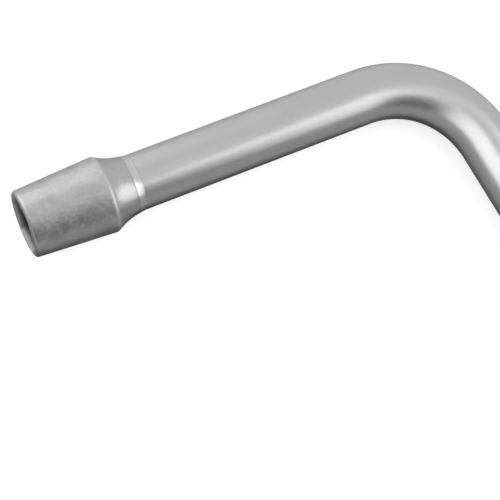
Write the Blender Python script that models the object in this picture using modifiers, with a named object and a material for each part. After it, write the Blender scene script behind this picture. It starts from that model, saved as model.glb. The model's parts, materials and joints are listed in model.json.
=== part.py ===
"""L-shaped lug wrench: a forged hex socket welded to a bent steel bar with a pry tip.

Metres, +Z up.  The wrench is drawn in the flat plane of its L, with the crossing point of the
two arms' centre lines at (0, 0, 0), the long arm along +X and the short arm towards -Y.  An
empty, rest_frame, then lays it on the ground: the long arm touches all along its underside, and
the plane leans up so that the socket's wider shoulder touches too.
"""

import math

import bmesh
import bpy
from mathutils import Matrix, Vector

MM = 0.001

# Bar
BAR_DIAMETER = 20 * MM
BEND_RADIUS = 38.5 * MM  # of the bar's centre line
ARM_ANGLE = math.radians(100)  # between the two arms
SHORT_ARM = 160.5 * MM  # from the arms' crossing point to the socket's mouth
LONG_ARM = 355 * MM  # from the same point to the end of the pry tip

# Socket head, measured back from its mouth
HEX_ACROSS_FLATS = 17.3 * MM  # a 17 mm nut with its clearance
HEX_DEPTH = 24 * MM
HEX_LEAD_IN = 0.6 * MM
DRILL_POINT_DEPTH = 3 * MM
MOUTH_DIAMETER = 24 * MM
RIM_RADIUS = 1.2 * MM
BARREL_LENGTH = 29.5 * MM
SHOULDER_DIAMETER = 27.3 * MM
SHOULDER_EDGE = 0.4 * MM
NECK_END = 38.4 * MM
NECK_END_DIAMETER = 20.8 * MM
NECK_CORNER = (0.22, 0.46)  # of the neck's drop and length: where its end slopes would cross

# Weld between the neck and the bar
WELD_WIDTH = 2.4 * MM
WELD_DEPTH = 2.2 * MM
WELD_ROOT_WIDTH = 1.0 * MM
WELD_HOLLOW = 0.06 * MM  # how far its face dips below a straight cone

# Spigot of the bar inside the head
SPIGOT_DIAMETER = 12 * MM
SPIGOT_LENGTH = 9 * MM
SPIGOT_CHAMFER = 0.8 * MM
STEP_RUN = 0.05 * MM  # along the bar, where the spigot steps up to the weld's bevel
GAP = 0.3 * MM  # between touching pieces

# Pry tip
TIP_LENGTH = 62 * MM
TIP_THICKNESS = 3.2 * MM
TIP_WIDTH = 24 * MM
TIP_CORNER_RADIUS = 4 * MM

# Fineness of round surfaces
TURNED_SIDES = 72
BAR_BEVEL_RESOLUTION = 16
BEND_STEPS = 26
ARC_STEPS = 6

BAR_RADIUS = BAR_DIAMETER / 2
MOUTH_RADIUS = MOUTH_DIAMETER / 2
SHOULDER_RADIUS = SHOULDER_DIAMETER / 2
NECK_END_RADIUS = NECK_END_DIAMETER / 2
WELD_START = NECK_END + GAP
WELD_END = WELD_START + WELD_WIDTH
BAR_START = WELD_END + GAP

SHORT_ARM_DIRECTION = Vector((math.cos(ARM_ANGLE), -math.sin(ARM_ANGLE), 0))
MOUTH_CENTRE = SHORT_ARM_DIRECTION * SHORT_ARM
SHOULDER_REACH = (SHORT_ARM - BARREL_LENGTH) * math.sin(ARM_ANGLE)
REST_LEAN = math.asin((SHOULDER_RADIUS - BAR_RADIUS) / SHOULDER_REACH)


def clear_scene():
    for obj in list(bpy.data.objects):
        bpy.data.objects.remove(obj, do_unlink=True)


def new_collection(name):
    collection = bpy.data.collections.new(name)
    bpy.context.scene.collection.children.link(collection)
    return collection


def finish(name, colour, roughness):
    """Plated steel."""
    material = bpy.data.materials.new(name)
    material.use_nodes = True
    shader = material.node_tree.nodes["Principled BSDF"]
    shader.inputs["Base Color"].default_value = (*colour, 1)
    shader.inputs["Metallic"].default_value = 1
    shader.inputs["Roughness"].default_value = roughness
    return material


def arc(centre, radius, start_deg, end_deg, steps=ARC_STEPS):
    """Points of an arc in the (radius, height) plane of a turned profile."""
    points = []
    for i in range(steps + 1):
        angle = math.radians(start_deg + (end_deg - start_deg) * i / steps)
        points.append((centre[0] + radius * math.cos(angle), centre[1] + radius * math.sin(angle)))
    return points


def sweep_curve(start, corner, end, steps):
    """Points of a curve that leaves start towards corner and reaches end from it."""
    points = []
    for i in range(steps + 1):
        t = i / steps
        weights = ((1 - t) ** 2, 2 * t * (1 - t), t**2)
        points.append(
            tuple(sum(w * p[k] for w, p in zip(weights, (start, corner, end))) for k in (0, 1))
        )
    return points


def turned(name, profile, collection, closed=False):
    """A piece turned about its own Z from (radius, height) points running down its outer side."""
    mesh = bpy.data.meshes.new(name)
    edges = [(i, i + 1) for i in range(len(profile) - 1)]
    if closed:
        edges.append((len(profile) - 1, 0))
    mesh.from_pydata([(radius, 0, height) for radius, height in profile], edges, [])
    obj = bpy.data.objects.new(name, mesh)
    collection.objects.link(obj)
    screw = obj.modifiers.new("turn", "SCREW")
    screw.axis = "Z"
    screw.steps = TURNED_SIDES
    screw.render_steps = TURNED_SIDES
    screw.use_merge_vertices = True
    screw.merge_threshold = 0.00001
    return obj


def hexagonal_cutter(name, radius_in, radius_out, depth, collection):
    """A six-sided frustum about Z, from z = -depth to z = 0, with a corner towards +X."""
    mesh = bpy.data.meshes.new(name)
    shape = bmesh.new()
    bmesh.ops.create_cone(
        shape, cap_ends=True, segments=6, radius1=radius_in, radius2=radius_out, depth=depth
    )
    bmesh.ops.translate(shape, verts=shape.verts, vec=(0, 0, -depth / 2))
    quarter_turn = Matrix.Rotation(math.pi / 2, 3, "Z")
    bmesh.ops.rotate(shape, verts=shape.verts, cent=(0, 0, 0), matrix=quarter_turn)
    shape.to_mesh(mesh)
    shape.free()
    return add_cutter(name, mesh, collection)


def add_cutter(name, mesh, collection):
    obj = bpy.data.objects.new(name, mesh)
    collection.objects.link(obj)
    obj.hide_render = True
    obj.display_type = "WIRE"
    return obj


def cut(obj, cutter):
    boolean = obj.modifiers.new(cutter.name, "BOOLEAN")
    boolean.operation = "DIFFERENCE"
    boolean.solver = "EXACT"
    boolean.object = cutter


def turning_axis():
    """Places a turned piece: its Z runs out of the mouth, its X stands up from the L's plane."""
    outwards = SHORT_ARM_DIRECTION
    up = Vector((0, 0, 1))
    side = outwards.cross(up)
    rotation = Matrix((up, side, outwards)).transposed().to_4x4()
    return Matrix.Translation(MOUTH_CENTRE) @ rotation


def socket_profile():
    """The head's turned outline, heights negative going back from the mouth."""
    land = MOUTH_RADIUS - RIM_RADIUS
    bore = SPIGOT_DIAMETER / 2 + GAP
    bore_end = -(BAR_START - SPIGOT_LENGTH - GAP)
    neck_corner = (
        NECK_END_RADIUS + (SHOULDER_RADIUS - NECK_END_RADIUS) * NECK_CORNER[0],
        -(BARREL_LENGTH + (NECK_END - BARREL_LENGTH) * NECK_CORNER[1]),
    )
    outline = [(0, 0), (land / 2, 0)]
    outline += arc((land, -RIM_RADIUS), RIM_RADIUS, 90, 0)
    outline += [
        (SHOULDER_RADIUS, -(BARREL_LENGTH - SHOULDER_EDGE)),
        (SHOULDER_RADIUS, -(BARREL_LENGTH + SHOULDER_EDGE / 2)),
    ]
    neck = sweep_curve(
        (SHOULDER_RADIUS - SHOULDER_EDGE / 2, -(BARREL_LENGTH + SHOULDER_EDGE)),
        neck_corner,
        (NECK_END_RADIUS, -NECK_END),
        10,
    )
    bevel = (BAR_RADIUS - WELD_DEPTH, -(NECK_END + (WELD_WIDTH - WELD_ROOT_WIDTH) / 2))
    rear = [bevel, (bore, bevel[1]), (bore, bore_end), (0, bore_end)]
    return outline + neck + rear


def make_socket_head(collection, cutters, material):
    head = turned("socket_head", socket_profile(), collection)
    corner_radius = HEX_ACROSS_FLATS / math.sqrt(3)
    lead_in = HEX_LEAD_IN * 2 / math.sqrt(3)
    above = 2 * MM
    hexagon = hexagonal_cutter(
        "hex_bore_cutter", corner_radius, corner_radius, HEX_DEPTH + above, cutters
    )
    hexagon.location.z = above
    slope = corner_radius + lead_in + above * lead_in / HEX_LEAD_IN
    opening = hexagonal_cutter(
        "lead_in_cutter", corner_radius, slope, HEX_LEAD_IN + above, cutters
    )
    opening.location.z = above
    drill = bpy.data.meshes.new("drill_point_cutter")
    shape = bmesh.new()
    bmesh.ops.create_cone(
        shape,
        cap_ends=True,
        segments=TURNED_SIDES // 2,
        radius1=0.5 * MM,
        radius2=HEX_ACROSS_FLATS / 2 - 0.5 * MM,
        depth=DRILL_POINT_DEPTH + above,
    )
    shape.to_mesh(drill)
    shape.free()
    point = add_cutter("drill_point_cutter", drill, cutters)
    point.location.z = -(HEX_DEPTH + DRILL_POINT_DEPTH) + (DRILL_POINT_DEPTH + above) / 2
    for cutter in (hexagon, opening, point):
        cutter.parent = head
        cut(head, cutter)
    head.data.materials.append(material)
    return head


def make_weld_ring(collection, material):
    """A ring of V section, dressed to a hollow that blends the neck into the bar."""
    middle = -(WELD_START + WELD_END) / 2
    root = BAR_RADIUS - WELD_DEPTH
    half_root = WELD_ROOT_WIDTH / 2
    hollow_corner = ((NECK_END_RADIUS + BAR_RADIUS) / 2 - 2 * WELD_HOLLOW, middle)
    face = sweep_curve((NECK_END_RADIUS, -WELD_START), hollow_corner, (BAR_RADIUS, -WELD_END), 4)
    profile = face + [(root, middle - half_root), (root, middle + half_root)]
    ring = turned("weld_ring", profile, collection, closed=True)
    ring.data.materials.append(material)
    return ring


def bar_route():
    """(point, radius) pairs along the bar's centre line, from the spigot to the pry tip's end."""
    route = []

    def along_short_arm(back_from_mouth, radius):
        route.append((SHORT_ARM_DIRECTION * (SHORT_ARM - back_from_mouth), radius))

    spigot = SPIGOT_DIAMETER / 2
    weld_bevel = BAR_START - (WELD_WIDTH - WELD_ROOT_WIDTH) / 2
    spigot_end = BAR_START - SPIGOT_LENGTH
    along_short_arm(spigot_end, spigot - SPIGOT_CHAMFER)
    along_short_arm(spigot_end + SPIGOT_CHAMFER, spigot)
    along_short_arm(weld_bevel, spigot)
    along_short_arm(weld_bevel + STEP_RUN, BAR_RADIUS - WELD_DEPTH)
    along_short_arm(BAR_START, BAR_RADIUS)

    turn = math.pi - ARM_ANGLE
    tangent_length = BEND_RADIUS * math.tan(turn / 2)
    long_arm_tangent = Vector((tangent_length, 0, 0))
    centre = long_arm_tangent + Vector((0, -BEND_RADIUS, 0))
    spoke = SHORT_ARM_DIRECTION * tangent_length - centre
    for i in range(BEND_STEPS + 1):
        swing = Matrix.Rotation(-turn * i / BEND_STEPS, 3, "Z")
        route.append((centre + swing @ spoke, BAR_RADIUS))

    tip_stations = 14
    for i in range(tip_stations + 1):
        x = LONG_ARM - TIP_LENGTH + (TIP_LENGTH - TIP_CORNER_RADIUS) * i / tip_stations
        route.append((Vector((x, 0, 0)), BAR_RADIUS))
    for i in range(1, 6):
        x = LONG_ARM - TIP_CORNER_RADIUS * (1 - math.sin(math.radians(90 * i / 5)))
        route.append((Vector((x, 0, 0)), BAR_RADIUS))
    return route


def sweep_bar(name, route, collection):
    """A round bar along the route, as a closed mesh."""
    curve = bpy.data.curves.new(name + "_curve", "CURVE")
    curve.dimensions = "3D"
    curve.bevel_depth = 1
    curve.bevel_resolution = BAR_BEVEL_RESOLUTION
    curve.use_fill_caps = True
    spline = curve.splines.new("POLY")
    spline.points.add(len(route) - 1)
    for point, (place, radius) in zip(spline.points, route):
        point.co = (*place, 1)
        point.radius = radius
    guide = bpy.data.objects.new(name + "_curve", curve)
    bpy.context.scene.collection.objects.link(guide)
    bpy.context.view_layer.update()
    evaluated = guide.evaluated_get(bpy.context.evaluated_depsgraph_get())
    mesh = bpy.data.meshes.new_from_object(evaluated)
    mesh.name = name
    shape = bmesh.new()
    shape.from_mesh(mesh)
    bmesh.ops.remove_doubles(shape, verts=shape.verts, dist=0.0001 * MM)
    shape.to_mesh(mesh)
    shape.free()
    obj = bpy.data.objects.new(name, mesh)
    obj.matrix_world = guide.matrix_world
    bpy.data.objects.remove(guide, do_unlink=True)
    collection.objects.link(obj)
    return obj


def forge_pry_tip(mesh):
    """Presses the bar's end between two flat dies: it thins to a wedge and spreads sideways."""
    start = LONG_ARM - TIP_LENGTH
    for vertex in mesh.vertices:
        x, y, z = vertex.co
        if x <= start:
            continue
        share = (x - start) / TIP_LENGTH
        spread = 1 + (TIP_WIDTH / BAR_DIAMETER - 1) * share
        half_thickness = BAR_RADIUS + (TIP_THICKNESS / 2 - BAR_RADIUS) * share
        past_corner = max(0, x - (LONG_ARM - TIP_CORNER_RADIUS))
        rounding = TIP_CORNER_RADIUS - math.sqrt(TIP_CORNER_RADIUS**2 - past_corner**2)
        width = TIP_WIDTH / 2
        vertex.co.y = y * spread * (width - rounding) / width
        vertex.co.z = max(-half_thickness, min(half_thickness, z))


def make_shaft(collection, material):
    shaft = sweep_bar("shaft", bar_route(), collection)
    forge_pry_tip(shaft.data)
    shaft.data.materials.clear()
    shaft.data.materials.append(material)
    return shaft


def shade_round(obj, sharp_deg=35):
    for polygon in obj.data.polygons:
        polygon.use_smooth = True
    obj.data.set_sharp_from_angle(angle=math.radians(sharp_deg))


def world_box(objects):
    """Lowest and highest corners of the evaluated objects."""
    bpy.context.view_layer.update()
    graph = bpy.context.evaluated_depsgraph_get()
    corners = []
    for obj in objects:
        evaluated = obj.evaluated_get(graph)
        corners += [evaluated.matrix_world @ Vector(corner) for corner in evaluated.bound_box]
    low = Vector(min(corner[k] for corner in corners) for k in range(3))
    high = Vector(max(corner[k] for corner in corners) for k in range(3))
    return low, high


def main():
    clear_scene()
    pieces = new_collection("lug_wrench")
    cutters = new_collection("cutters")
    plated_steel = finish("satin_plated_steel", (0.62, 0.62, 0.62), 0.32)
    dressed_weld = finish("dressed_weld", (0.68, 0.68, 0.67), 0.28)

    rest_frame = bpy.data.objects.new("rest_frame", None)
    pieces.objects.link(rest_frame)
    head = make_socket_head(pieces, cutters, plated_steel)
    ring = make_weld_ring(pieces, dressed_weld)
    shaft = make_shaft(pieces, plated_steel)
    for piece in (head, ring):
        piece.matrix_world = turning_axis()
    for piece in (head, ring, shaft):
        piece.parent = rest_frame
        shade_round(piece)

    rest_frame.rotation_euler.x = -REST_LEAN
    rest_frame.location.z = BAR_RADIUS
    low, high = world_box((head, ring, shaft))
    rest_frame.location.x = -(low.x + high.x) / 2
    rest_frame.location.y = -(low.y + high.y) / 2


main()
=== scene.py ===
"""Finished look of the L-shaped lug wrench: forged socket head, dressed weld and bent, plated bar.

Every piece is drawn in the flat plane of the L, with the arms' crossing point at (0, 0, 0), the
long arm along +X and the short arm towards -Y, and is then laid on the ground by rest_place.
"""

import json
import math

import bmesh
import bpy
from mathutils import Matrix, Vector

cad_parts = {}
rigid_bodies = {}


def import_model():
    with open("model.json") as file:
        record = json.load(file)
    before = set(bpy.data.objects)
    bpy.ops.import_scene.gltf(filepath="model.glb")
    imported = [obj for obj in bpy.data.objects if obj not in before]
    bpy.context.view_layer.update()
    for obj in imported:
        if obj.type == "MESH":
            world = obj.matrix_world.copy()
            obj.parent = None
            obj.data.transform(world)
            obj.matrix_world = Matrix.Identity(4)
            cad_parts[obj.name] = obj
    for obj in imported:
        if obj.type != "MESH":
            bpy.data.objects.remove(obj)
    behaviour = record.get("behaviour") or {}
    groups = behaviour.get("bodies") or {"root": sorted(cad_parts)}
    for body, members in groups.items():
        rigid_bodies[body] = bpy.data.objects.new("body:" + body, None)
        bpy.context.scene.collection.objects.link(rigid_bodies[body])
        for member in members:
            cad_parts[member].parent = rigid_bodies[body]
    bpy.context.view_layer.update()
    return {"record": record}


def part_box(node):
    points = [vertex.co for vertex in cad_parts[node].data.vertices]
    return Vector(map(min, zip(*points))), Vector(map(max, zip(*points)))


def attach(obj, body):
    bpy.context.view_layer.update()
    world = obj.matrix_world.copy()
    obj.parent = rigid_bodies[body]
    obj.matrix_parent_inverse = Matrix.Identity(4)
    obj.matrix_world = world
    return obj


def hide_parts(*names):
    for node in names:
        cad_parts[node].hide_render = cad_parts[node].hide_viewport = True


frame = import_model()

MM = 0.001

# Bar
BAR_RADIUS = 10 * MM
BEND_RADIUS = 38.5 * MM
ARM_ANGLE = math.radians(100)
SHORT_ARM = 160.5 * MM
LONG_ARM = 355 * MM
BEND_TURN = math.pi - ARM_ANGLE
BEND_TANGENT = BEND_RADIUS * math.tan(BEND_TURN / 2)  # from the arms' crossing to the bend

# Socket head, measured back from its mouth
HEX_ACROSS_FLATS = 17.3 * MM
HEX_CORNER_EASE = 0.975  # of the corner's reach, where a forged hexagon rounds off
HEX_CORNER_POWER = 60  # the higher, the more suddenly a flat turns into an eased corner
HEX_DEPTH = 24 * MM
HEX_LEAD_IN = 0.6 * MM
HEX_LEAD_EASE = 0.12 * MM
BORE_FLOOR_RADIUS = HEX_ACROSS_FLATS / 2 - 0.5 * MM
DRILL_POINT_DEPTH = 3 * MM
DRILL_CENTRE_RADIUS = 0.3 * MM
MOUTH_RADIUS = 12 * MM
RIM_RADIUS = 1.2 * MM
BARREL_LENGTH = 29.5 * MM
SHOULDER_RADIUS = 13.65 * MM
SHOULDER_EDGE = 0.4 * MM
SHOULDER_DROP = 0.01 * MM  # where the barrel's taper starts, just off the shoulder's edge
NECK_END = 38.4 * MM
NECK_END_RADIUS = 10.4 * MM
NECK_CORNER = (0.22, 0.46)  # shares of the way out and back that the neck's curve aims for

# Weld
WELD_START = 38.55 * MM
WELD_END = 41.25 * MM
WELD_HOLLOW = 0.06 * MM
WELD_FRONT_DROP = 0.03 * MM  # below the neck
WELD_REAR_RISE = 0.02 * MM  # above the bar
SEAM_DEPTH = 0.06 * MM
HIDDEN_WALL = 1 * MM  # depth of the end walls that the neighbouring piece covers

# Pry tip
TIP_LENGTH = 62 * MM
TIP_THICKNESS = 3.2 * MM
TIP_WIDTH = 24 * MM
TIP_CORNER_RADIUS = 4 * MM

# Fineness
SIDES = 192
BEND_STATIONS = 110
TIP_CORNER_STATIONS = 12
BORE_STATIONS = 20
ARM_STATION_GAP = 2.5 * MM
SHARP_ANGLE = math.radians(32)

SHORT_ARM_DIRECTION = Vector((math.cos(ARM_ANGLE), -math.sin(ARM_ANGLE), 0))
LONG_ARM_DIRECTION = Vector((1, 0, 0))
UP = Vector((0, 0, 1))


def rest_place():
    """Lays the L on the ground, tilted so that the shoulder touches it as the bar does."""
    reach = (SHORT_ARM - BARREL_LENGTH) * math.sin(ARM_ANGLE)
    lean = math.asin((SHOULDER_RADIUS - BAR_RADIUS) / reach)
    mounts = {mount["name"]: mount for mount in frame["record"]["mounts"]}
    long_arm_line = mounts["pry_tip_face"]["pos_m"][1]
    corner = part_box("shaft")[1].x - LONG_ARM
    place = Matrix.Translation((corner, long_arm_line, BAR_RADIUS))
    return place @ Matrix.Rotation(-lean, 4, "X")


# ---------------------------------------------------------------- shapes


def arc(centre, radius, start_deg, end_deg, steps):
    """(radius, height) points of an arc in a turned outline."""
    points = []
    for i in range(steps + 1):
        angle = math.radians(start_deg + (end_deg - start_deg) * i / steps)
        points.append(
            (centre[0] + radius * math.cos(angle), centre[1] + radius * math.sin(angle))
        )
    return points


def sweep_curve(start, corner, end, steps):
    """Points of a curve that leaves start towards corner and reaches end from it."""
    points = []
    for i in range(steps + 1):
        t = i / steps
        weights = ((1 - t) ** 2, 2 * t * (1 - t), t**2)
        points.append(
            tuple(sum(w * p[k] for w, p in zip(weights, (start, corner, end))) for k in (0, 1))
        )
    return points


def straight(start, end, steps):
    """Points from start towards end, end left out."""
    return [
        tuple(start[k] + (end[k] - start[k]) * i / steps for k in (0, 1)) for i in range(steps)
    ]


def round_section(radius):
    return [radius] * SIDES


def hexagonal_section(across_flats):
    """Reach of a hexagon with eased corners at each side's angle, a corner at the first."""
    reaches = []
    power = HEX_CORNER_POWER
    corner = across_flats / math.sqrt(3) * HEX_CORNER_EASE
    for i in range(SIDES):
        angle = (2 * math.pi * i / SIDES) % (math.pi / 3) - math.pi / 6
        flat = across_flats / 2 / math.cos(angle)
        reaches.append((flat**-power + corner**-power) ** (-1 / power))
    return reaches


def ring_about(centre, across, up, reaches):
    """Points round a centre, one for each reach, the first straight up."""
    points = []
    for i, reach in enumerate(reaches):
        angle = 2 * math.pi * i / SIDES
        points.append(centre + (up * math.cos(angle) + across * math.sin(angle)) * reach)
    return points


def skin(name, rings, unbent):
    """A closed skin through rings of points, each with its place on the straightened wrench.

    The place is a vector: distance along, and the two offsets from the centre line.  The
    materials read it, so their grain follows the bend.
    """
    mesh = bpy.data.meshes.new(name)
    shape = bmesh.new()
    rows = [[shape.verts.new(point) for point in ring] for ring in rings]
    for row, after in zip(rows, rows[1:]):
        for i in range(SIDES):
            j = (i + 1) % SIDES
            shape.faces.new((row[i], row[j], after[j], after[i]))
    shape.faces.new(reversed(rows[0]))
    shape.faces.new(rows[-1])
    bmesh.ops.recalc_face_normals(shape, faces=shape.faces)
    shape.to_mesh(mesh)
    shape.free()
    grain = mesh.attributes.new("unbent", "FLOAT_VECTOR", "POINT")
    for item, place in zip(grain.data, (place for ring in unbent for place in ring)):
        item.vector = place
    for polygon in mesh.polygons:
        polygon.use_smooth = True
    mesh.set_sharp_from_angle(angle=SHARP_ANGLE)
    obj = bpy.data.objects.new(name, mesh)
    bpy.context.scene.collection.objects.link(obj)
    return obj


def turned_skin(name, outline):
    """A piece turned about the short arm from (section, distance back from the mouth) pairs."""
    across = SHORT_ARM_DIRECTION.cross(UP)
    rings = []
    unbent = []
    for section, back in outline:
        reaches = section if isinstance(section, list) else round_section(section)
        centre = SHORT_ARM_DIRECTION * (SHORT_ARM - back)
        rings.append(ring_about(centre, across, UP, reaches))
        flat_centre = Vector((back, 0, 0))
        unbent.append(ring_about(flat_centre, Vector((0, 1, 0)), UP, reaches))
    return skin(name, rings, unbent)


def make_socket_head():
    """Neck, shoulder, tapered barrel, rounded rim and hexagonal bore, in one closed skin."""
    land = MOUTH_RADIUS - RIM_RADIUS
    neck_corner = (
        NECK_END_RADIUS + (SHOULDER_RADIUS - NECK_END_RADIUS) * NECK_CORNER[0],
        BARREL_LENGTH + (NECK_END - BARREL_LENGTH) * NECK_CORNER[1],
    )
    seam_floor = NECK_END_RADIUS - SEAM_DEPTH
    neck_end = (NECK_END_RADIUS, NECK_END - SEAM_DEPTH)
    neck_start = (SHOULDER_RADIUS - SHOULDER_EDGE / 2, BARREL_LENGTH + SHOULDER_EDGE)
    taper_start = (SHOULDER_RADIUS - SHOULDER_DROP, BARREL_LENGTH - SHOULDER_EDGE)
    outline = [(seam_floor - HIDDEN_WALL, WELD_START), (seam_floor, WELD_START)]
    outline += sweep_curve(
        (seam_floor, NECK_END), (NECK_END_RADIUS, NECK_END), neck_end, steps=4
    )
    outline += sweep_curve(neck_end, neck_corner, neck_start, steps=36)[1:]
    outline += sweep_curve(
        neck_start, (SHOULDER_RADIUS, BARREL_LENGTH), taper_start, steps=6
    )[1:-1]
    outline += straight(taper_start, (MOUTH_RADIUS, RIM_RADIUS), steps=40)
    outline += arc((land, RIM_RADIUS), RIM_RADIUS, 0, -90, steps=14)
    opening = HEX_ACROSS_FLATS + 2 * HEX_LEAD_IN
    ease = HEX_LEAD_EASE
    wall_start = HEX_LEAD_IN + ease
    wall_length = HEX_DEPTH - 2 * HEX_LEAD_IN
    outline += [
        (hexagonal_section(opening + 2 * ease), 0),
        (hexagonal_section(opening), ease / 2),
        (hexagonal_section(opening - ease), ease * 1.5),
        (hexagonal_section(HEX_ACROSS_FLATS + ease), HEX_LEAD_IN),
    ]
    outline += [
        (hexagonal_section(HEX_ACROSS_FLATS), wall_start + wall_length * i / BORE_STATIONS)
        for i in range(BORE_STATIONS + 1)
    ]
    outline += [
        (hexagonal_section(HEX_ACROSS_FLATS), HEX_DEPTH),
        (BORE_FLOOR_RADIUS, HEX_DEPTH),
        (BORE_FLOOR_RADIUS / 2, HEX_DEPTH + DRILL_POINT_DEPTH / 2),
        (DRILL_CENTRE_RADIUS, HEX_DEPTH + DRILL_POINT_DEPTH),
    ]
    return turned_skin("socket_head_forging", outline)


def make_weld():
    """The dressed weld: a shallow hollow ring between two fine seams."""
    inner = BAR_RADIUS - HIDDEN_WALL
    front = (NECK_END_RADIUS - WELD_FRONT_DROP, WELD_START)
    rear = (BAR_RADIUS + WELD_REAR_RISE, WELD_END)
    hollow_corner = ((front[0] + rear[0]) / 2 - 2 * WELD_HOLLOW, (front[1] + rear[1]) / 2)
    outline = [(inner, WELD_END), (BAR_RADIUS - SEAM_DEPTH, WELD_END)]
    outline += sweep_curve(rear, hollow_corner, front, steps=12)
    outline += [(NECK_END_RADIUS - SEAM_DEPTH, WELD_START), (inner, WELD_START)]
    return turned_skin("dressed_weld_ring", outline)


def bar_length():
    """From the weld to the end of the pry tip, along the bar."""
    straight_runs = SHORT_ARM - WELD_END + LONG_ARM - 2 * BEND_TANGENT
    return straight_runs + BEND_RADIUS * BEND_TURN


def bar_stations():
    """(point, direction, distance) triples along the bar, from the weld to the pry tip."""
    first = SHORT_ARM - WELD_END
    straight_run = first - BEND_TANGENT
    stations = []
    count = round(straight_run / ARM_STATION_GAP)
    for i in range(count):
        gone = straight_run * i / count
        stations.append((SHORT_ARM_DIRECTION * (first - gone), -SHORT_ARM_DIRECTION, gone))
    centre = Vector((BEND_TANGENT, -BEND_RADIUS, 0))
    spoke = SHORT_ARM_DIRECTION * BEND_TANGENT - centre
    for i in range(BEND_STATIONS + 1):
        swing = Matrix.Rotation(-BEND_TURN * i / BEND_STATIONS, 3, "Z")
        gone = straight_run + BEND_RADIUS * BEND_TURN * i / BEND_STATIONS
        stations.append((centre + swing @ spoke, swing @ -SHORT_ARM_DIRECTION, gone))
    bend_end = stations[-1][2]
    run = LONG_ARM - TIP_CORNER_RADIUS - BEND_TANGENT
    count = round(run / ARM_STATION_GAP)
    for i in range(1, count + 1):
        gone = run * i / count
        stations.append((Vector((BEND_TANGENT + gone, 0, 0)), LONG_ARM_DIRECTION, bend_end + gone))
    corner_start, _, corner_gone = stations[-1]
    for i in range(1, TIP_CORNER_STATIONS + 1):
        gone = TIP_CORNER_RADIUS * math.sin(math.radians(90 * i / TIP_CORNER_STATIONS))
        stations.append(
            (corner_start + LONG_ARM_DIRECTION * gone, LONG_ARM_DIRECTION, corner_gone + gone)
        )
    return stations


def press_tip(point):
    """Where the two dies leave a point of the round bar."""
    start = LONG_ARM - TIP_LENGTH
    if point.x <= start:
        return point
    share = (point.x - start) / TIP_LENGTH
    spread = 1 + (TIP_WIDTH / BAR_RADIUS / 2 - 1) * share
    half_thickness = BAR_RADIUS + (TIP_THICKNESS / 2 - BAR_RADIUS) * share
    past_corner = min(TIP_CORNER_RADIUS, max(0, point.x - (LONG_ARM - TIP_CORNER_RADIUS)))
    rounding = TIP_CORNER_RADIUS - math.sqrt(TIP_CORNER_RADIUS**2 - past_corner**2)
    width = TIP_WIDTH / 2
    y = point.y * spread * (width - rounding) / width
    z = max(-half_thickness, min(half_thickness, point.z))
    return Vector((point.x, y, z))


def make_bar():
    """The round bar, bent once and pressed flat at its tip."""
    rings = []
    unbent = []
    section = round_section(BAR_RADIUS)
    for point, direction, gone in bar_stations():
        across = -direction.cross(UP)
        rings.append([press_tip(p) for p in ring_about(point, across, UP, section)])
        flat_centre = Vector((WELD_END + gone, 0, 0))
        unbent.append(ring_about(flat_centre, Vector((0, 1, 0)), UP, section))
    return skin("bent_bar", rings, unbent)


# ---------------------------------------------------------------- finishes

# Greys
FORGED_GREYS = (0.52, 0.66)
DRAWN_GREYS = (0.56, 0.68)
DRESSED_GREYS = (0.66, 0.74)
WORN_GREY = 0.74
END_WEAR_GREY = 0.7
# painted shade on the neck
NECK_SHADE_GREY = 0.42
PRESSED_GREY = 0.42
SEAM_GREY = 0.25
NECK_SEAM_GREY = 0.2
# painted shade: near-black colour deep inside the hex bore
BORE_SHADE_GREY = 0.03

# Roughness, from the brightest patches of the plating to the dullest
FORGED_ROUGHNESS = (0.33, 0.47)
DRAWN_ROUGHNESS = (0.29, 0.36)
DRESSED_ROUGHNESS = (0.26, 0.32)

# Heights and depths of the relief
FORGED_HUMPS = 0.25 * MM
FORGED_DIMPLES = 0.03 * MM
FORGED_GRAIN = 0.0018 * MM
TURNING_LINES = 0.0008 * MM
DRAWN_HUMPS = 0.02 * MM
DRAWN_DIMPLES = 0.005 * MM
DRAWN_GRAIN = 0.0006 * MM
DRAWING_LINES = 0.0014 * MM
PRESSED_DIMPLES = 0.03 * MM
DRESSED_DIMPLES = 0.005 * MM
DRESSING_LINES = 0.0015 * MM
SCRATCH_DEPTH = 0.003 * MM
SCUFF_DEPTH = 0.008 * MM
NICK_DEPTH = 0.006 * MM

# Widths of worn places and seams, and the depth over which painted shade darkens the bore
SHOULDER_WEAR = 1.1 * MM
RIM_WEAR = 1.9 * MM
RIM_LAND = 2.4 * MM
BORE_SHADE_DEPTH = 3.5 * MM
TIP_WEAR = 9 * MM
PRESSED_FADE = 6 * MM
NECK_SEAM_WIDTH = 0.35 * MM
SEAM_WIDTH = 0.3 * MM
REAR_SEAM_WIDTH = 0.2 * MM


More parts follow.
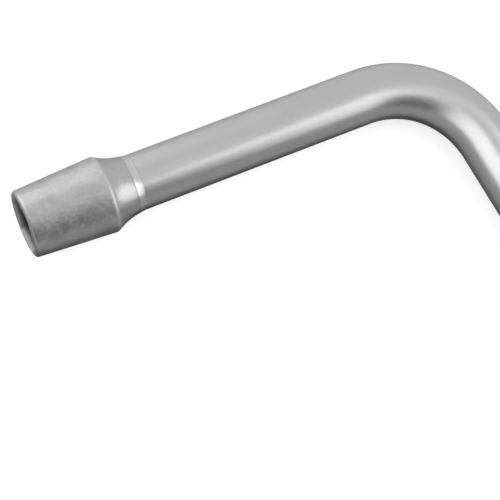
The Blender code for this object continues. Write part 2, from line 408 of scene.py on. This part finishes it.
class Wire:
    """A shader socket that takes part in Python expressions; each operator adds a Math node."""

    def __init__(self, tree, socket=None):
        self.tree = tree
        self.socket = socket

    def node(self, kind, settings=None, inputs=None, output=0):
        """Adds a node, its settings first, and gives the wire of one of its outputs."""
        made = self.tree.nodes.new(kind)
        for name, value in (settings or {}).items():
            setattr(made, name, value)
        for name, value in (inputs or {}).items():
            if isinstance(value, Wire):
                self.tree.links.new(value.socket, made.inputs[name])
            else:
                made.inputs[name].default_value = value
        return Wire(self.tree, made.outputs[output])

    def maths(self, operation, *values):
        return self.node("ShaderNodeMath", {"operation": operation}, dict(enumerate(values)))

    def __add__(self, other):
        return self.maths("ADD", self, other)

    def __sub__(self, other):
        return self.maths("SUBTRACT", self, other)

    def __rsub__(self, other):
        return self.maths("SUBTRACT", other, self)

    def __mul__(self, other):
        return self.maths("MULTIPLY", self, other)

    __radd__ = __add__
    __rmul__ = __mul__

    def size(self):
        return self.maths("ABSOLUTE", self)

    def larger(self, other):
        return self.maths("MAXIMUM", self, other)

    def step(self, low, high):
        """0 at low, 1 at high and beyond, smooth between them; high may be below low."""
        settings = {"interpolation_type": "SMOOTHSTEP", "clamp": True}
        inputs = {"Value": self, "From Min": low, "From Max": high}
        return self.node("ShaderNodeMapRange", settings, inputs)

    def band(self, middle, half_width):
        """1 at middle, falling smoothly to 0 at half_width from it."""
        return (self - middle).size().step(half_width, 0)

    def spread(self, low, high):
        """From 0..1 to low..high."""
        return self * (high - low) + low

    def stretched(self, along, around):
        """A place on the wrench with its own grain size along the bar and around it."""
        scale = {0: self, 1: (along, around, around)}
        return self.node("ShaderNodeVectorMath", {"operation": "MULTIPLY"}, scale)

    def reach(self):
        """How far a place on the wrench is from the centre line."""
        return self.node(
            "ShaderNodeVectorMath", {"operation": "LENGTH"}, {0: self.stretched(0, 1)}, 1
        )

    def noise(self, scale, detail, roughness=0.5, distortion=0.0):
        """Soft noise from 0 to 1, its grain 1 / scale of a metre."""
        inputs = {
            "Vector": self,
            "Scale": scale,
            "Detail": detail,
            "Roughness": roughness,
            "Distortion": distortion,
        }
        return self.node("ShaderNodeTexNoise", {}, inputs)

    def tint(self, low, high):
        """A neutral colour between two grey levels."""
        inputs = {0: self, 6: grey(low), 7: grey(high)}
        return self.node("ShaderNodeMix", {"data_type": "RGBA"}, inputs, 2)

    def blend(self, share, level):
        """This colour, with a share of a plain grey level mixed in."""
        inputs = {0: share, 6: self, 7: grey(level)}
        return self.node("ShaderNodeMix", {"data_type": "RGBA"}, inputs, 2)


def grey(level):
    return (level, level, level, 1)


def scratches(place, scale, width, share):
    """Fine scratches: contours of one noise, kept where a coarser one is high."""
    line = place.noise(scale, 1.5, 0.4, 0.3).band(0.5, width)
    kept = place.noise(scale * 0.35, 1.0).step(0.62 - share, 0.7 - share)
    return line * kept


def metal_material(describe):
    """A metal whose colour, roughness and relief come from describe(place, along)."""
    material = bpy.data.materials.new(describe.__name__)
    material.use_nodes = True
    tree = material.node_tree
    shader = tree.nodes["Principled BSDF"]
    shader.inputs["Metallic"].default_value = 1
    start = Wire(tree)
    place = start.node("ShaderNodeAttribute", {"attribute_name": "unbent"}, {}, 1)
    along = place.node("ShaderNodeSeparateXYZ", {}, {0: place}, 0)
    colour, roughness, relief = describe(place, along)
    bump = relief.node("ShaderNodeBump", {}, {"Strength": 1, "Distance": 1, "Height": relief})
    tree.links.new(colour.socket, shader.inputs["Base Color"])
    tree.links.new(roughness.socket, shader.inputs["Roughness"])
    tree.links.new(bump.socket, shader.inputs["Normal"])
    return material


def forged_plate(place, along):
    """The head: tumbled after forging and turning, then plated."""
    cloud = place.stretched(0.7, 1).noise(190, 3, 0.55)
    mottle = place.noise(800, 3, 0.6)
    grain = place.noise(4200, 2, 0.6)
    turning = place.stretched(5200, 60).noise(1, 2, 0.5)
    marks = scratches(place, 420, 0.012, 0.1)
    reach = place.reach()
    outside = reach.step(MOUTH_RADIUS - 2.2 * MM, MOUTH_RADIUS - 1.6 * MM)
    inside = 1 - outside
    ragged = along + mottle.spread(-0.5 * MM, 0.5 * MM)
    shoulder = ragged.band(BARREL_LENGTH, SHOULDER_WEAR)
    near_mouth = ragged.step(RIM_WEAR, 0.5 * MM)
    rim = near_mouth * reach.step(MOUTH_RADIUS - RIM_LAND, MOUTH_RADIUS - 1 * MM)
    neck = along.step(BARREL_LENGTH + 0.3 * MM, BARREL_LENGTH + 1.5 * MM) * outside
    seam = along.band(WELD_START, NECK_SEAM_WIDTH) * outside
    # Painted shade: the bore's colour darkens towards near black from just inside the mouth
    bore_painted_shade = inside * along.step(0.6 * MM, BORE_SHADE_DEPTH)
    colour = (cloud * 0.6 + mottle * 0.4).step(0.3, 0.7).tint(*FORGED_GREYS)
    colour = colour.blend(shoulder.larger(rim) * 0.5, WORN_GREY)
    colour = colour.blend(bore_painted_shade * mottle.spread(0.85, 1), BORE_SHADE_GREY)
    # Painted shade: a share of a darker grey over the neck beyond the shoulder
    colour = colour.blend(neck * 0.3, NECK_SHADE_GREY)
    colour = colour.blend(seam * 0.25, NECK_SEAM_GREY)
    roughness = cloud.spread(*FORGED_ROUGHNESS) + mottle.spread(-0.06, 0.06)
    roughness = roughness + shoulder * 0.1 - rim * 0.06 - neck * 0.08
    roughness = roughness + inside * 0.22 + marks * 0.08
    relief = cloud * FORGED_HUMPS + mottle * FORGED_DIMPLES + grain * FORGED_GRAIN
    relief = relief * (1 - neck * 0.6) + turning * TURNING_LINES - marks * SCRATCH_DEPTH
    return colour, roughness, relief


def drawn_plate(place, along):
    """The bar: drawn smooth, bent and pressed at the tip, then plated."""
    cloud = place.stretched(0.35, 1).noise(160, 2, 0.5)
    mottle = place.stretched(0.5, 1).noise(900, 3, 0.6)
    grain = place.noise(4600, 2, 0.6)
    draw = place.stretched(30, 1400).noise(1, 3, 0.65)
    marks = scratches(place, 300, 0.012, 0.1)
    nicks = place.noise(700, 1.5, 0.5).step(0.7, 0.76)
    seam = along.band(WELD_END, SEAM_WIDTH)
    tip_end = WELD_END + bar_length()
    tip_start = tip_end - TIP_LENGTH
    pressed = along.step(tip_start, tip_start + PRESSED_FADE)
    scuffs = scratches(place.stretched(1, 0.5), 900, 0.03, 0.4) * pressed
    ragged = along + mottle.spread(-3 * MM, 3 * MM)
    end_wear = ragged.step(tip_end - TIP_WEAR, tip_end - 1 * MM)
    colour = (cloud * 0.5 + mottle * 0.3 + draw * 0.2).tint(*DRAWN_GREYS)
    colour = colour.blend(pressed * mottle.spread(0.2, 0.8), PRESSED_GREY)
    colour = colour.blend(end_wear * 0.35, END_WEAR_GREY)
    colour = colour.blend(seam * 0.3 + nicks * 0.08, SEAM_GREY)
    roughness = cloud.spread(*DRAWN_ROUGHNESS) + mottle.spread(-0.04, 0.04)
    roughness = roughness + draw.spread(-0.04, 0.04)
    roughness = roughness + marks * 0.08 + scuffs * 0.12 + nicks * 0.06
    roughness = roughness + pressed * 0.12 - end_wear * 0.06
    relief = cloud * DRAWN_HUMPS + mottle * DRAWN_DIMPLES + grain * DRAWN_GRAIN
    relief = relief + draw * DRAWING_LINES + pressed * mottle * PRESSED_DIMPLES
    relief = relief - marks * SCRATCH_DEPTH - scuffs * SCUFF_DEPTH - nicks * NICK_DEPTH
    return colour, roughness, relief


def dressed_plate(place, along):
    """The weld: ground round and round until smooth, then plated."""
    mottle = place.noise(1300, 3, 0.6)
    rings = place.stretched(4200, 40).noise(1, 2, 0.5)
    seams = along.band(WELD_START, SEAM_WIDTH) + along.band(WELD_END, REAR_SEAM_WIDTH)
    colour = mottle.tint(*DRESSED_GREYS).blend(seams * 0.3, SEAM_GREY)
    roughness = mottle.spread(*DRESSED_ROUGHNESS) + rings.spread(-0.03, 0.03)
    relief = mottle * DRESSED_DIMPLES + rings * DRESSING_LINES
    return colour, roughness, relief


# ---------------------------------------------------------------- studio

CAMERA_TARGET = Vector((19.63, -95.75, 0)) * MM
CAMERA_DISTANCE = 622.3 * MM
CAMERA_SWING = math.radians(-0.57)
CAMERA_TILT = math.radians(14.55)
CAMERA_ROLL = math.radians(58.69)
CAMERA_LENS = 129.6
CAMERA_SENSOR = 36

FLOOR_REACH = 6.0
FLOOR_LEVEL = 0.86
FLOOR_GLOW = 0.45

# Soft grey surround.  Directions are given in the L's plane and along its normal, and each edge
# is where the change towards that direction starts and ends, as the cosine of the angle from it.
SURROUND_SHADE = 0.37
SURROUND_LIGHT = 0.71
LIT_SIDE = Vector((-0.85, 0.51, 0.13))
LIT_EDGE = (-0.25, 0.3)
GAP_SHADE = 0.07
GAP_SIDE = Vector((0.74, -0.24, 0.63))
GAP_EDGE = (0.83, 0.98)
UNDER_SHADE = 0.04
UNDER_SIDE = Vector((0.40, -0.10, -0.91))
UNDER_EDGE = (0.73, 1.0)
GROUND_SHARE = 0.6  # of the level above, straight down
GROUND_EDGE = (0.2, 0.95)

# Softboxes: name, direction from the middle of the short arm, direction of the width, distance,
# width, height, radiance, and whether a flag keeps the light off the socket head
SOFTBOXES = (
    ("mouth_side_softbox", (0.08, -0.63, 0.77), (0.86, 0.50, 0.13), 0.88, 0.94, 1.10, 1.2, True),
    ("corner_side_softbox", (0.55, 0.52, 0.655), (0.86, 0.50, 0.13), 0.90, 0.80, 0.80, 1.15, False),
    ("low_side_softbox", (-0.95, -0.22, 0.24), (0, 1, 0), 0.50, 0.50, 0.50, 0.54, False),
)


def make_camera(place):
    """The camera, turned to look down on the L's plane and set back from its target."""
    data = bpy.data.cameras.new("studio_camera")
    data.lens = CAMERA_LENS
    data.sensor_width = CAMERA_SENSOR
    camera = bpy.data.objects.new("studio_camera", data)
    turn = (
        Matrix.Rotation(CAMERA_SWING, 4, "Z")
        @ Matrix.Rotation(CAMERA_TILT, 4, "X")
        @ Matrix.Rotation(CAMERA_ROLL, 4, "Z")
    )
    stand = Matrix.Translation(CAMERA_TARGET) @ turn @ Matrix.Translation((0, 0, CAMERA_DISTANCE))
    camera.matrix_world = place @ stand
    bpy.context.scene.collection.objects.link(camera)
    bpy.context.scene.camera = camera


def make_floor():
    """A wide pale disc that the wrench neither reflects nor is shaded by."""
    mesh = bpy.data.meshes.new("studio_floor")
    shape = bmesh.new()
    bmesh.ops.create_circle(shape, cap_ends=True, segments=64, radius=FLOOR_REACH)
    shape.to_mesh(mesh)
    shape.free()
    floor = bpy.data.objects.new("studio_floor", mesh)
    bpy.context.scene.collection.objects.link(floor)
    material = bpy.data.materials.new("pale_floor")
    material.use_nodes = True
    shader = material.node_tree.nodes["Principled BSDF"]
    shader.inputs["Base Color"].default_value = grey(FLOOR_LEVEL)
    shader.inputs["Roughness"].default_value = 0.9
    shader.inputs["Specular IOR Level"].default_value = 0
    shader.inputs["Emission Color"].default_value = grey(1)
    shader.inputs["Emission Strength"].default_value = FLOOR_GLOW
    mesh.materials.append(material)
    floor.visible_glossy = False
    floor.visible_shadow = False


def make_surround(place):
    """A soft grey room, lighter on one side, with a dark gap in the other and a dark underside."""
    world = bpy.data.worlds.new("studio_surround")
    world.use_nodes = True
    bpy.context.scene.world = world
    tree = world.node_tree
    start = Wire(tree)
    direction = start.node("ShaderNodeTexCoord", {}, {}, 0)
    turn = place.to_3x3()
    lit = facing(direction, turn @ LIT_SIDE).step(*LIT_EDGE)
    gap = facing(direction, turn @ GAP_SIDE).step(*GAP_EDGE)
    under = facing(direction, turn @ UNDER_SIDE).step(*UNDER_EDGE)
    ground = facing(direction, -UP).step(*GROUND_EDGE)
    level = lit.spread(SURROUND_SHADE, SURROUND_LIGHT) * ground.spread(1, GROUND_SHARE)
    level = level * (1 - gap) + gap * GAP_SHADE
    level = level * (1 - under) + under * UNDER_SHADE
    tree.links.new(level.socket, tree.nodes["Background"].inputs["Color"])


def facing(direction, towards):
    """1 straight towards the given direction, 0 square to it, -1 away from it."""
    inputs = {0: direction, 1: tuple(towards.normalized())}
    return direction.node("ShaderNodeVectorMath", {"operation": "DOT_PRODUCT"}, inputs, 1)


def make_softboxes(place, head):
    """Area lights about the short arm; a flagged one lights every mesh but the head."""
    middle = SHORT_ARM_DIRECTION * (SHORT_ARM / 2)
    unflagged = bpy.data.collections.new("flagged_light_receivers")
    for obj in bpy.context.scene.collection.objects:
        if obj.type == "MESH" and obj != head:
            unflagged.objects.link(obj)
    for name, direction, across, distance, width, height, radiance, flagged in SOFTBOXES:
        data = bpy.data.lights.new(name, "AREA")
        data.shape = "RECTANGLE"
        data.size = width
        data.size_y = height
        data.energy = radiance * math.pi * width * height
        box = bpy.data.objects.new(name, data)
        back = Vector(direction).normalized()
        up = back.cross(Vector(across)).normalized()
        turn = Matrix((up.cross(back), up, back)).transposed().to_4x4()
        box.matrix_world = place @ Matrix.Translation(middle + back * distance) @ turn
        box.visible_camera = False
        if flagged:
            box.light_linking.receiver_collection = unflagged
        bpy.context.scene.collection.objects.link(box)


def main():
    place = rest_place()
    pieces = {
        "socket_head": (make_socket_head(), forged_plate, "satin_plated_steel"),
        "weld_ring": (make_weld(), dressed_plate, "dressed_weld"),
        "shaft": (make_bar(), drawn_plate, "satin_plated_steel"),
    }
    for node, (piece, finish, slot) in pieces.items():
        piece.data.transform(place)
        piece.data.materials.append(metal_material(finish))
        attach(piece, "root")
        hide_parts(node)
    make_camera(place)
    make_floor()
    make_surround(place)
    make_softboxes(place, pieces["socket_head"][0])
    bpy.context.scene.view_settings.view_transform = "Standard"


main()
